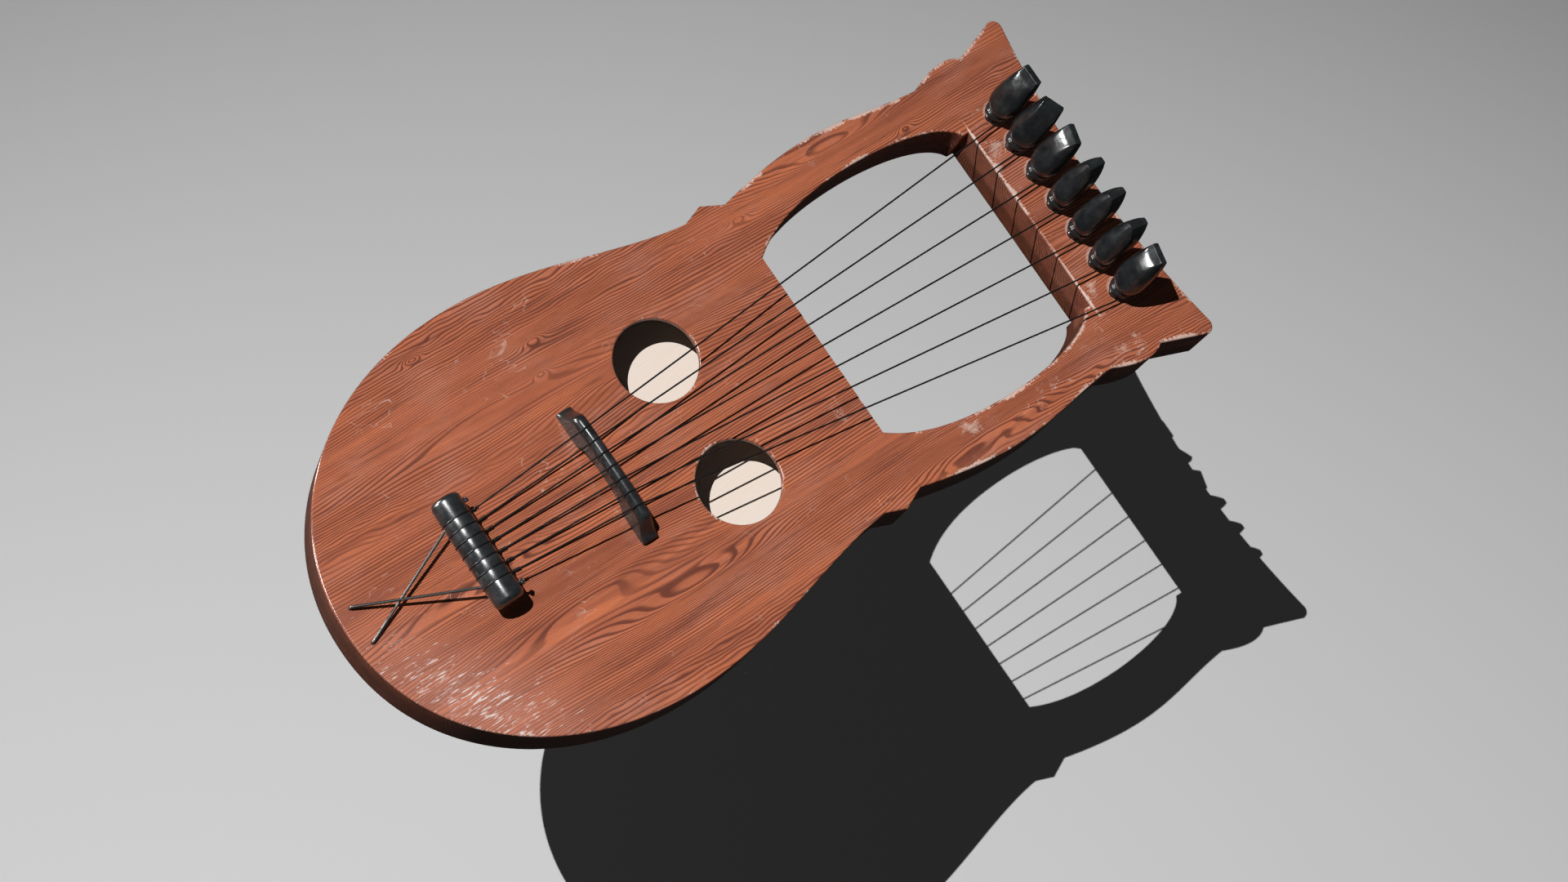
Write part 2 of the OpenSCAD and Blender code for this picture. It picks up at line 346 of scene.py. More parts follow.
def finished(name, mesh):
    """An object whose mesh is closed, turned outwards and smooth up to sharp corners."""
    shape = bmesh.new()
    shape.from_mesh(mesh)
    bmesh.ops.remove_doubles(shape, verts=shape.verts, dist=1e-7)
    bmesh.ops.dissolve_degenerate(shape, edges=shape.edges, dist=1e-7)
    loose = [v for v in shape.verts if not v.link_faces]
    bmesh.ops.delete(shape, geom=loose, context="VERTS")
    bmesh.ops.recalc_face_normals(shape, faces=shape.faces)
    shape.to_mesh(mesh)
    shape.free()
    piece = bpy.data.objects.new(name, mesh)
    scene.collection.objects.link(piece)
    smooth(piece)
    return piece


def smooth(piece, angle=32):
    piece.data.shade_smooth()
    piece.data.set_sharp_from_angle(angle=math.radians(angle))


def mesh_piece(name, vertices, faces):
    mesh = bpy.data.meshes.new(name)
    mesh.from_pydata([Vector(v) * MM for v in vertices], [], faces)
    return finished(name, mesh)


def quads(a, b, n):
    """Faces between two rings of n points that start at a and at b."""
    return [(a + i, a + (i + 1) % n, b + (i + 1) % n, b + i) for i in range(n)]


def prism(name, loop, low, high):
    n = len(loop)
    vertices = [(x, y, low) for x, y in loop] + [(x, y, high) for x, y in loop]
    faces = [tuple(range(n))[::-1], tuple(range(n, 2 * n))]
    faces += quads(0, n, n)
    return mesh_piece(name, vertices, faces)


def rod(name, start, end, r_start, r_end, sides=32):
    """A straight cone or cylinder between two points."""
    start, end = Vector(start), Vector(end)
    turn = (end - start).to_track_quat("Z", "Y")
    vertices = []
    for centre, r in ((start, r_start), (end, r_end)):
        for i in range(sides):
            a = 2 * math.pi * i / sides
            vertices.append(centre + turn @ Vector((r * math.cos(a), r * math.sin(a), 0)))
    faces = [tuple(range(sides))[::-1], tuple(range(sides, 2 * sides))]
    faces += quads(0, sides, sides)
    return mesh_piece(name, vertices, faces)


def box_piece(name, low, high):
    loop = [(low[0], low[1]), (high[0], low[1]), (high[0], high[1]), (low[0], high[1])]
    return prism(name, loop, low[2], high[2])


def combine(piece, tool, operation="DIFFERENCE", material=None):
    """Cuts the tool out of the piece, or adds it, and removes the tool. The cut may have its own material."""
    change = piece.modifiers.new("combine", "BOOLEAN")
    change.operation = operation
    change.solver = "EXACT"
    if material:
        tool.data.materials.append(material)
        change.material_mode = "TRANSFER"
    change.object = tool
    apply_modifiers(piece)
    bpy.data.objects.remove(tool)
    return piece


def apply_modifiers(piece):
    bpy.context.view_layer.update()
    result = bpy.data.meshes.new_from_object(piece.evaluated_get(bpy.context.evaluated_depsgraph_get()))
    piece.modifiers.clear()
    piece.data = result


def place(piece, body, material, slot, *nodes):
    """Gives the piece its material and the body it rides on, and hides the CAD nodes it stands for; the slot
    is not used.
    """
    if not piece.data.materials:
        piece.data.materials.append(material)
    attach(piece, body)
    if nodes:
        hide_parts(*nodes)
    return piece


# ---------- Materials ----------

class Look:
    """A material's node graph. Every value may be a number, a colour or another node's output."""

    def __init__(self, name):
        self.material = bpy.data.materials.new(name)
        self.material.use_nodes = True
        self.tree = self.material.node_tree
        self.surface = self.tree.nodes["Principled BSDF"]

    def put(self, socket, value):
        if isinstance(value, bpy.types.NodeSocket):
            self.tree.links.new(value, socket)
        elif isinstance(value, (tuple, Vector)) and len(value) == 3 and socket.type == "RGBA":
            socket.default_value = (*value, 1)
        else:
            socket.default_value = value

    def node(self, kind, values=(), **settings):
        made = self.tree.nodes.new("ShaderNode" + kind)
        for key, value in settings.items():
            setattr(made, key, value)
        for key, value in dict(values).items():
            self.put(made.inputs[key], value)
        return made

    def math(self, operation, a, b=0.0, c=0.0, clamp=False):
        return self.node("Math", {0: a, 1: b, 2: c}, operation=operation, use_clamp=clamp).outputs[0]

    def add(self, a, b):
        return self.math("ADD", a, b)

    def times(self, a, b):
        return self.math("MULTIPLY", a, b)

    def hill(self, u, v):
        """1 where u and v are 0, falling smoothly to 0 around."""
        return self.math("EXPONENT", self.times(self.add(self.times(u, u), self.times(v, v)), -1.0))

    def point(self, x, y, z):
        return self.node("CombineXYZ", {0: x, 1: y, 2: z}).outputs[0]

    def noise(self, place, sizes, detail=1.0, rough=0.5, warp=0.0, shift=(0, 0, 0)):
        """Noise with blotches of the given sizes; shift moves it to another sample."""
        scaled = [self.times(v, 1 / size) for v, size in zip(place, sizes)]
        at = self.point(*[self.add(v, by) if by else v for v, by in zip(scaled, shift)])
        values = {"Vector": at, "Scale": 1.0, "Detail": detail, "Roughness": rough, "Distortion": warp}
        return self.node("TexNoise", values).outputs["Fac"]

    def step(self, value, low, high, to_low=0.0, to_high=1.0):
        """Smooth change from to_low at low to to_high at high."""
        values = {0: value, 1: low, 2: high, 3: to_low, 4: to_high}
        return self.node("MapRange", values, interpolation_type="SMOOTHSTEP").outputs[0]

    def mix(self, amount, a, b, blend="MIX"):
        made = self.node("Mix", data_type="RGBA", blend_type=blend)
        for socket, value in zip((made.inputs[0], made.inputs[6], made.inputs[7]), (amount, a, b)):
            self.put(socket, value)
        return made.outputs[2]

    def ramp(self, value, *stops):
        made = self.node("ValToRGB", {0: value})
        while len(made.color_ramp.elements) < len(stops):
            made.color_ramp.elements.new(0.5)
        for element, (at, colour) in zip(made.color_ramp.elements, stops):
            element.position, element.color = at, (*colour, 1)
        return made.outputs[0]

    def bump(self, height, distance, strength=1.0):
        values = {"Height": height, "Distance": distance * MM, "Strength": strength}
        return self.node("Bump", values).outputs["Normal"]

    def place(self):
        """The object's own x, y and z in millimetres."""
        split = self.node("SeparateXYZ", {0: self.node("TexCoord").outputs["Object"]})
        return [self.times(split.outputs[k], 1000) for k in range(3)]

    def finish(self, **values):
        for key, value in values.items():
            self.put(self.surface.inputs[key.replace("_", " ")], value)
        return self.material


def grain_height(look, x, y, z, figure=True):
    """The place across the grain, and the growth rings as a number that rises by one per ring."""
    drift = look.noise((x, y, z), (52, 300, 52), 1)
    wave = look.noise((x, y, z), (9, 75, 9), 1)
    across = look.add(x, look.add(look.times(drift, 14), look.times(wave, 2.4)))
    slow = look.noise((across, y, z), (27, 190, 27), 1.2)
    rings = look.add(look.times(look.add(across, look.times(z, 0.6)), 1 / 1.85), look.times(slow, 9))
    if figure:
        for cx, cy, wide, tall, high in figures:
            u = look.times(look.add(x, look.add(look.times(wave, 3), -cx - 1.5)), 1 / wide)
            v = look.times(look.add(y, -cy), 1 / tall)
            rings = look.add(rings, look.times(look.hill(u, v), high))
        swirl = look.noise((x, y, z), (8, 26, 8), 1.3, 0.5)
        band = look.noise((across, y, z), (30, 400, 30), 1, shift=(0, 0, 63))
        curl = look.times(look.add(swirl, -0.5), look.step(band, 0.50, 0.62))
        rings = look.add(rings, look.times(curl, 2.6))
    return across, rings


# Centre, half-width, half-length and number of rings of each figure in the front:
# seven long cathedrals and five knots
figures = (
    (54, -165, 12, 80, 8),
    (-47, -40, 9, 70, 5),
    (-73, -150, 9, 90, 5),
    (10, -215, 9, 60, 7),
    (100, 120, 8, 70, 7),
    (-104, 130, 8, 60, -5),
    (84, -90, 7, 60, -6),
    (-94, -97, 4, 9, 4),
    (-121, -166, 3, 7, 4),
    (-74, -104, 3, 6, 3),
    (-96, 60, 4, 9, 4),
    (-92, 190, 3, 7, 3),
)


# Centre, half-width and half-length of each place on the front where the varnish is rubbed pale
rubbed_patches = (
    (-49, 235, 9, 10),
    (104, 232, 8, 16),
    (93, 109, 7, 10),
    (98, 170, 6, 16),
    (-38, 228, 5, 5),
    (60, 232, 7, 5),
)


def varnished_wood():
    look = Look("varnished wood")
    x, y, z = look.place()
    across, rings = grain_height(look, x, y, z)
    part = look.math("FRACT", rings)
    late = look.times(look.step(part, 0.42, 0.74), look.step(part, 0.88, 1.0, 1, 0))
    strips = look.noise((across, y, z), (17, 330, 17), 1.5)
    lined = look.step(strips, 0.46, 0.62, 1.0, 0.6)
    tone = look.noise((across, y, z), (7, 150, 7), 3, 0.6)
    colour = look.ramp(tone, (0.30, wood_mid), (0.52, wood_lit), (0.80, wood_orange))
    orange = look.noise((across, y, z), (5, 120, 5), 3, 0.6, shift=(31, 0, 0))
    colour = look.mix(look.times(look.step(orange, 0.58, 0.70), 0.6), colour, wood_orange)
    pink = look.noise((x, y, z), (26, 50, 26), 4, 0.6, shift=(0, 0, 9))
    colour = look.mix(look.times(look.step(pink, 0.46, 0.70), 0.6), colour, wood_pink)
    broad = look.noise((across, y, z), (16, 120, 16), 3, 0.6, shift=(0, 0, 13))
    colour = look.mix(look.step(broad, 0.54, 0.70, 0, 0.45), colour, wood_dark)
    streak = look.noise((across, y, z), (2.2, 60, 3), 3, 0.65, shift=(57, 0, 0))
    colour = look.mix(look.step(streak, 0.54, 0.70, 0, 0.55), colour, wood_streak)
    colour = look.mix(look.times(late, look.times(lined, 0.85)), colour, wood_line)
    pores = look.noise((x, y, z), (0.45, 9, 0.45), 2, 0.6)
    colour = look.mix(look.step(pores, 0.55, 0.72, 0, 0.35), colour, wood_streak)

    # Worn edges, the worn ridge of the yoke, rubbed rings under the pegs, and scratches
    fine = look.noise((x, y, z), (1.6, 1.6, 1.6), 3, 0.65)
    cloud = look.noise((x, y, z), (24, 24, 24), 2, 0.6, shift=(0, 0, 5))
    edge = look.node("Attribute", attribute_name="edge").outputs["Fac"]
    ragged = look.add(look.times(look.add(fine, -0.5), 1.4), look.times(look.add(cloud, -0.5), 2.0))
    rough_edge = look.add(edge, ragged)
    rough_edge = look.add(rough_edge, look.step(y, 20, 90, -0.22, 0.02))
    worn = look.step(rough_edge, 1.0, 1.2, 0, 0.8)
    on_front = look.step(z, front_z - 1.6, front_z - 0.9)
    ends = look.step(look.math("ABSOLUTE", x), 15, 60, 0.25, 1.0)
    near = look.step(look.math("ABSOLUTE", look.add(y, -yoke_y - 0.4)), 0.35, 0.95, 1, 0)
    span = look.step(look.math("ABSOLUTE", x), shoulder_x + 1, shoulder_x + 4, 1, 0)
    broken = look.step(look.add(fine, look.times(ends, 0.12)), 0.46, 0.58)
    ridge = look.times(look.times(near, span), look.times(ends, broken))
    worn = look.math("MAXIMUM", worn, look.times(ridge, on_front))
    turns = look.math("FRACT", look.add(look.times(x, 1 / peg_pitch), 0.5))
    cell = look.times(look.add(turns, -0.5), peg_pitch)
    off = look.add(y, -peg_hole_y - 4.5)
    cell = look.add(cell, 0.8)
    spot = look.math("SQRT", look.add(look.times(cell, cell), look.times(off, off)))
    by_pegs = look.times(look.step(look.math("ABSOLUTE", x), 80, 81, 1, 0), on_front)
    halo = look.times(look.step(look.add(spot, look.times(fine, -2)), 7.0, 8.4, 0.42, 0), by_pegs)
    worn = look.math("MAXIMUM", worn, halo)
    haze = look.step(look.add(cloud, look.times(fine, 0.25)), 0.84, 0.97, 0, 0.4)
    hair = look.noise((x, y, z), (7, 16, 7), 1.5, 0.5, 0.6)
    thin = look.step(look.math("ABSOLUTE", look.add(hair, -0.5)), 0.004, 0.014, 1, 0)
    where = look.noise((x, y, z), (30, 36, 30), 2, 0.6, shift=(0, 0, 21))
    scratch = look.times(thin, look.step(where, 0.58, 0.70, 0, 0.4))
    haze = look.times(haze, look.step(fine, 0.4, 0.6))
    worn = look.math("MAXIMUM", worn, look.math("MAXIMUM", haze, scratch))
    colour = look.mix(worn, colour, wood_worn)
    patch = 0.0
    for cx, cy, wide, tall in rubbed_patches:
        u = look.times(look.add(x, -cx), 1 / wide)
        v = look.times(look.add(y, -cy), 1 / tall)
        patch = look.add(patch, look.hill(u, v))
    blot = look.noise((x, y, z), (6, 11, 6), 3, 0.65, 0.8, shift=(0, 0, 77))
    patch = look.add(look.times(patch, 0.22), look.add(look.times(fine, 0.3), look.times(blot, 0.7)))
    colour = look.mix(look.times(look.step(patch, 0.64, 0.82, 0, 0.6), on_front), colour, wood_worn)

    # Painted highlight: bright glint streaks and a pinkish painted sheen along the lower right rim
    u = look.add(look.times(look.add(x, -72), 0.816 / 80), look.times(look.add(y, 248), 0.578 / 80))
    v = look.add(look.times(look.add(x, -72), -0.578 / 30), look.times(look.add(y, 248), 0.816 / 30))
    rim = look.hill(u, v)
    # Painted sheen: the rim's area is turned pinker and paler
    colour = look.mix(look.times(rim, look.times(on_front, 0.35)), colour, (0.74, 0.36, 0.28))
    # Painted glints: thin bright streaks that stand in for a lamp's highlight
    painted_glint = look.noise((x, y, z), (1.0, 12, 2), 3, 0.65, shift=(0, 0, 40))
    painted_glint = look.add(painted_glint, look.times(look.add(rim, -1.0), 0.19))
    painted_glint = look.times(look.step(painted_glint, 0.53, 0.62, 0, 0.9), on_front)
    colour = look.mix(painted_glint, colour, (1.0, 0.92, 0.88))

    ridges = look.noise((x, y, z), (0.9, 26, 0.9), 3, 0.6)
    height = look.add(look.times(late, -0.25), look.add(look.times(ridges, 0.9), look.times(pores, 0.35)))
    height = look.add(height, look.times(streak, 0.8))
    rough = look.add(look.step(ridges, 0.3, 0.7, 0.12, 0.22), look.times(worn, 0.25))
    upward = look.node("SeparateXYZ", {0: look.node("TexCoord").outputs["Normal"]}).outputs[2]
    # Painted shade: side faces are darkened, more so further below the front, and the yoke's inner wall is
    # lighter only near its top
    side = look.step(look.math("ABSOLUTE", upward), 0.25, 0.75, 1, 0)
    painted_side_shade = look.step(z, front_z - 20, front_z - 2, 0.55, 0.85)
    painted_wall_shade = look.step(z, front_z - 27, front_z - 17, 0.3, 1.0)
    yoke_wall_shade = look.times(look.step(y, yoke_y - 12, yoke_y - 8), painted_wall_shade)
    painted_side_shade = look.math("MAXIMUM", painted_side_shade, yoke_wall_shade)
    # Painted shade: downward faces above 30 mm, such as the soundboard's underside, are painted near-black
    painted_underside_shade = look.times(look.step(upward, -0.9, -0.6, 1, 0), look.step(z, 30, 31))
    colour = look.mix(painted_underside_shade, colour, (0.02, 0.01, 0.007))
    shade_grey = look.node("CombineColor", {0: painted_side_shade, 1: painted_side_shade, 2: painted_side_shade}).outputs[0]
    colour = look.mix(side, colour, look.mix(1.0, colour, shade_grey, "MULTIPLY"))
    rough = look.add(rough, look.times(side, 0.25))
    return look.finish(Base_Color=colour, Roughness=rough, Normal=look.bump(height, 0.045),
                       Specular_IOR_Level=0.42)


def pale_wood(name, painted_walls=False):
    """Bare wood; the flag marks the inside of the sound box, whose walls above the pale floor carry painted
    shade.
    """
    look = Look(name)
    x, y, z = look.place()
    _, rings = grain_height(look, x, y, z, figure=False)
    part = look.math("FRACT", rings)
    late = look.times(look.step(part, 0.3, 0.9), look.step(part, 0.92, 1.0, 1, 0))
    tone = look.noise((x, y, z), (14, 90, 14), 3)
    colour = look.mix(tone, (1.0, 0.88, 0.78), (1.0, 0.84, 0.72))
    colour = look.mix(look.times(late, 0.06), colour, (0.78, 0.62, 0.50))
    fibre = look.noise((x, y, z), (0.6, 14, 0.6), 3)
    colour = look.mix(look.step(fibre, 0.55, 0.75, 0, 0.07), colour, (0.55, 0.38, 0.27))
    if painted_walls:
        # Painted shade: the walls above the floor are painted near-black
        colour = look.mix(look.step(z, floor_t + 0.2, floor_t + 2.5), colour, (0.035, 0.017, 0.012))
    return look.finish(Base_Color=colour, Roughness=0.62, Normal=look.bump(fibre, 0.12))


def black_wood(name, dull, specular):
    """Polished black wood; dull is added to its roughness."""
    look = Look(name)
    x, y, z = look.place()
    mottle = look.noise((x, y, z), (6, 10, 8), 3, 0.6)
    colour = look.ramp(mottle, (0.3, (0.016, 0.018, 0.020)), (0.55, (0.027, 0.031, 0.033)),
                       (0.75, (0.048, 0.053, 0.056)))
    fibre = look.noise((x, y, z), (0.8, 0.8, 9), 2)
    rough = look.step(mottle, 0.3, 0.7, 0.17 + dull, 0.25 + dull)
    return look.finish(Base_Color=colour, Roughness=rough, Specular_IOR_Level=specular,
                       Normal=look.bump(look.add(fibre, mottle), 0.04))


def wound_string():
    look = Look("string")
    x, y, z = look.place()
    turns = look.math("SINE", look.times(y, 2 * math.pi / 0.5))
    speck = look.noise((x, y, z), (2, 4, 2), 2)
    colour = look.mix(speck, (0.006, 0.006, 0.006), (0.014, 0.014, 0.014))
    return look.finish(Base_Color=colour, Roughness=0.30, Metallic=0.0, Specular_IOR_Level=0.35,
                       Normal=look.bump(turns, 0.012))


def twisted_cord():
    look = Look("tail cord")
    x, y, z = look.place()
    twist = look.math("SINE", look.add(look.times(y, 2 * math.pi / 1.7), look.times(x, 2 * math.pi / 1.1)))
    speck = look.noise((x, y, z), (3, 3, 3), 2)
    colour = look.mix(speck, (0.030, 0.029, 0.028), (0.060, 0.058, 0.056))
    return look.finish(Base_Color=colour, Roughness=0.30, Metallic=0.2, Specular_IOR_Level=1.0,
                       Normal=look.bump(twist, 0.006))


def floor_look():
    look = Look("floor")
    x, y, z = look.place()
    cloud = look.noise((x, y, 0.0), (700, 700, 1), 2)
    return look.finish(Base_Color=look.mix(cloud, (0.77, 0.77, 0.77), (0.80, 0.80, 0.80)), Roughness=0.75,
                       Specular_IOR_Level=0.2)


wood_dark = (0.27, 0.078, 0.048)
wood_mid = (0.45, 0.132, 0.067)
wood_lit = (0.58, 0.176, 0.090)
wood_orange = (0.76, 0.225, 0.095)
wood_pink = (0.63, 0.242, 0.158)
wood_streak = (0.16, 0.058, 0.042)
wood_line = (0.145, 0.044, 0.031)
wood_worn = (0.90, 0.66, 0.56)
peg_joints = sorted((j for j in frame["joints"] if j["name"].startswith("peg_")), key=lambda j: j["name"])
peg_hole_y = peg_joints[0]["pos_m"][1] / MM
varnished, raw_wood, inner_wood = varnished_wood(), pale_wood("pale wood"), pale_wood("inner wood", True)
ebony, wire, cord_look = black_wood("ebony", 0.0, 0.45), wound_string(), twisted_cord()
bridge_ebony, tail_ebony = black_wood("ebony_bridge", 0.08, 0.38), black_wood("ebony_tailpiece", 0.06, 0.95)

# ---------- Body, soundboard and yoke ----------

back_round = 3.2
front_round = 1.2
tenon_l, tenon_w, tenon_t = 12, 26, 18
tenon_y = yoke_y + 14
dowel_r, dowel_l = 2, 30


def yoke_joint(x, y):
    return abs(abs(x) - yoke_x) < 0.1 or (abs(y - yoke_y) < 0.1 and shoulder_x < abs(x) < yoke_x)


def board_joint(x, y):
    return abs(y - window_y) < 0.1


def axis_point(i, s, x=0.0, v=0.0):
    """Point at height s on peg i's axis, moved by x sideways and by v towards the ears."""
    joint = peg_joints[i]
    along = Vector(joint["axis"])
    return Vector(joint["pos_m"]) / MM + along * s + Vector((x, v * along.z, -v * along.y))


body = slab("body_shell", [body_plan()], 0, front_z, back_round, front_round, yoke_joint)
body.data.materials.append(varnished)
combine(body, box_piece("cut", (-200, base_y - 20, board_z), (200, window_y, front_z + 20)))
combine(body, prism("cut", chamber_plan(), floor_t, front_z), material=inner_wood)
for side in (-1, 1):
    x = sorted((side * yoke_x, side * (yoke_x + tenon_l)))
    z = (front_z / 2 - tenon_t / 2, front_z / 2 + tenon_t / 2)
    combine(body, box_piece("cut", (x[0], tenon_y, z[0]), (x[1], tenon_y + tenon_w, z[1])), material=raw_wood)
    under_cord = Vector((side * cord_x, cord_y, -2))
    for top, r in ((40, 1.1), (recess_l, recess_r)):
        combine(body, rod("cut", under_cord, (under_cord.x, cord_y, top), r, r), material=raw_wood)
smooth(body)
place(body, LYRE, varnished, "varnished_wood", "body")

holes = [circle(side * hole_x, hole_y, hole_r, 96) for side in (-1, 1)]
board = slab("top_plate", [board_plan()] + holes, board_z, front_z, 0.1, front_round, board_joint)
for side in (-1, 1):
    combine(board, rod("cut", (side * cord_x, cord_y, 20), (side * cord_x, cord_y, 50), 1.15, 1.15))
smooth(board)
place(board, LYRE, varnished, "varnished_wood", "soundboard")

yoke = slab("yoke_bar", [yoke_plan()], 0, front_z, back_round, front_round,
            lambda x, y: abs(abs(x) - yoke_x) < 0.1)
yoke.data.materials.append(varnished)
for side in (-1, 1):
    x = sorted((side * (yoke_x - 4), side * (yoke_x + tenon_l)))
    z = (front_z / 2 - tenon_t / 2, front_z / 2 + tenon_t / 2)
    combine(yoke, box_piece("tenon", (x[0], tenon_y, z[0]), (x[1], tenon_y + tenon_w, z[1])), "UNION")
shaft_r, shaft_tip_r, shaft_l, play = 4.2, 3.55, 36.5, 0.05
taper = (shaft_r - shaft_tip_r) / shaft_l
for i in range(string_count):
    combine(yoke, rod("cut", axis_point(i, 4), axis_point(i, -shaft_l - 8), shaft_r + 4 * taper + play,
                      shaft_r - (shaft_l + 8) * taper + play, 40), material=raw_wood)
smooth(yoke)
place(yoke, LYRE, varnished, "varnished_wood", "yoke")

# ---------- Braces and dowels ----------

pins = []
for name, node in (("soundboard_brace_upper", "upper_brace"), ("soundboard_brace_bridge", "bridge_brace")):
    low, high = (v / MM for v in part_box(node))
    brace = box_piece(name, low, high)
    bevel = brace.modifiers.new("bevel", "BEVEL")
    bevel.width, bevel.segments = 0.9 * MM, 3
    apply_modifiers(brace)
    smooth(brace)
    place(brace, LYRE, raw_wood, "pale_wood", node)


def merged(name, pieces):
    """One object from several, each of which keeps its own closed shell."""
    shape = bmesh.new()
    for piece in pieces:
        shape.from_mesh(piece.data)
        bpy.data.objects.remove(piece)
    mesh = bpy.data.meshes.new(name)
    shape.to_mesh(mesh)
    shape.free()
    piece = bpy.data.objects.new(name, mesh)
    scene.collection.objects.link(piece)
    return piece


def ring_faces(rings, sides):
    """Faces of a closed shell: a first point, rings of points, and a last point."""
    faces = []
    for k in range(rings - 1):
        faces += quads(1 + k * sides, 1 + (k + 1) * sides, sides)
    last = 1 + (rings - 1) * sides
    faces += [(0, 1 + (i + 1) % sides, 1 + i) for i in range(sides)]
    faces += [(last + sides, last + i, last + (i + 1) % sides) for i in range(sides)]
    return faces


def lathe(name, place_point, profile, sides=48):
    """A solid turned from (radius, height) pairs; place_point gives the point for (x, y, height)."""
    vertices = [place_point(0, 0, profile[0][1])]
    for r, s in profile:
        vertices += [place_point(r * math.cos(a), r * math.sin(a), s)
                     for a in (2 * math.pi * i / sides for i in range(sides))]
    vertices.append(place_point(0, 0, profile[-1][1]))
    return mesh_piece(name, vertices, ring_faces(len(profile), sides))


for side in (-1, 1):
    for y in (tenon_y + 6, tenon_y + tenon_w - 6):
        x = side * (yoke_x + tenon_l / 2)
        profile = [(dowel_r - 0.3, 0), (dowel_r, 0.3), (dowel_r, dowel_l - 0.5), (dowel_r - 0.5, dowel_l)]
        pins.append(lathe("pin", lambda u, v, s: (x + u, y + v, s), profile, 32))
pins = merged("yoke_pins", pins)
smooth(pins)
place(pins, LYRE, raw_wood, "pale_wood", "yoke_dowels")

# ---------- Bridge ----------

bridge_y = base_y + 183.8
bridge_h = 24.4
bridge_l = bridge_high.x - bridge_low.x
crest_lean, crest_crown, crest_x = -2.8, 1.6, 34.5
bridge_pitch, tail_pitch = 9.2, 7.2
tail_y = (tail_low.y + tail_high.y) / 2
tail_z = (tail_low.z + tail_high.z) / 2
tail_r = (tail_high.z - tail_low.z) / 2
peg_top = 54


def crest_z(x):
    return front_z + bridge_h - crest_crown * (x / crest_x) ** 2


def bridge_column(x):
    """Lowest and highest point of the bridge over x, above the soundboard."""
    x = abs(x)
    low = 0.0
    if x < 24:
        arch = [(0, 9)] + curve((0, 9), (14, 9), (20, 6), (24, 0), 40)
        low = float(np.interp(x, [p[0] for p in arch], [p[1] for p in arch]))
    outline = [(0, crest_z(0) - front_z)] + [(k, crest_z(k) - front_z) for k in range(3, 33, 3)]
    outline += curve((33, crest_z(33) - front_z), (34.8, crest_z(34.5) - front_z - 0.1), (36.6, 21.6),
                     (37.4, 19.6), 8)
    outline += curve((37.4, 19.6), (40.5, 13), (43.5, 6.8), (45.4, 5.6), 10)
    outline += curve((45.4, 5.6), (46.2, 5.2), (46.8, 4.6), (bridge_l / 2, 3.8), 6)
    return low, float(np.interp(x, [p[0] for p in outline], [p[1] for p in outline]))


def bridge_sides(z, high):
    """Front and back edge of the bridge at a height over the soundboard, under a rounded top."""
    front = float(np.interp(z, [0, 9, 19], [-5.3, -5.2, -5.0]))
    back = float(np.interp(z, [0, 9, 19], [5.3, 4.7, 3.6]))
    dome = min(5.0, high * 0.4)
    rise = min(max((z - high + dome) / dome, 0), 1)
    keep = math.sqrt(1 - rise * rise)
    centre = (front + back) / 2
    return centre + (front - centre) * keep, centre + (back - centre) * keep


def bridge_piece():
    half = bridge_l / 2
    stations = sorted(set([round(-half + half * 2 * i / 128, 3) for i in range(129)]
                          + [s * v for s in (-1, 1)
                             for v in (half - 0.1, half - 0.3, half - 0.6, 24, 23.8, 23.4)]))
    vertices, faces = [], []
    levels = 22
    for x in stations:
        low, high = bridge_column(x)
        narrow = max(0.0, 0.6 - (half - abs(x))) * 0.7
        ring = []
        for k in range(levels + 1):
            z = low + (high - low) * math.sin(math.pi / 2 * k / levels)
            front, back = bridge_sides(z, high)
            pinch = 0.5 * max(0, 1 - (z - low) / 0.7) if low > 0 else 0.2 * max(0, 1 - z / 0.4)
            pinch = min(pinch + narrow, (back - front) * 0.45)
            ring.append((x, bridge_y + front + pinch, bridge_y + back - pinch, front_z + z))
        for x0, front, back, z in ring:
            vertices.append((x0, front, z))
        for x0, front, back, z in reversed(ring):
            vertices.append((x0, back, z))
    n = 2 * (levels + 1)
    for a in range(len(stations) - 1):
        faces += quads(a * n, (a + 1) * n, n)
    last = (len(stations) - 1) * n
    faces += [tuple(range(n)), tuple(range(last, last + n))]
    return mesh_piece("string_bridge", vertices, faces)


def tail_end(i):
    return Vector(((i - middle) * tail_pitch, tail_y + tail_r + 2 * string_r + 1.4, tail_z))


def on_crest(i):
    x = (i - middle) * bridge_pitch
    return Vector((x, bridge_y + crest_lean, crest_z(x) - string_r / 2))


coil_r = 6.6
coil_top = 5.55


def peg_end(i):
    return axis_point(i, coil_top, coil_r)


bridge = bridge_piece()
notch_r = string_r + 0.12
for i in range(string_count):
    crest = on_crest(i)
    before, after = (tail_end(i) - crest).normalized(), (peg_end(i) - crest).normalized()
    for way in (before, after):
        combine(bridge, rod("cut", crest + way * 14, crest - way * 0.6, notch_r, notch_r, 20))
smooth(bridge, 40)
place(bridge, LYRE, bridge_ebony, "ebony", "bridge")

# ---------- Tailpiece ----------

# Shallow mark that a string's ring leaves: offset along the tailpiece and depth
ring_mark = ((-1.1, 0), (-0.6, 0.06), (0, 0.1), (0.6, 0.06), (1.1, 0))
tail_half = (tail_high.x - tail_low.x) / 2
profile = []
for k in range(13):
    a = math.pi / 2 * k / 12
    profile.append((tail_r - 4.2 + 4.2 * math.sin(a) ** 0.9, -tail_half + 3.4 * (1 - math.cos(a))))
for i in range(string_count):
    x = (i - middle) * tail_pitch
    profile += [(tail_r - dip, x + off) for off, dip in ring_mark]
profile += [(r, -s) for r, s in reversed(profile[:13])]
tailpiece = lathe("tail_bar", lambda u, v, s: (s, tail_y + u, tail_z + v), profile, 72)


# ---------- Strings and cords ----------

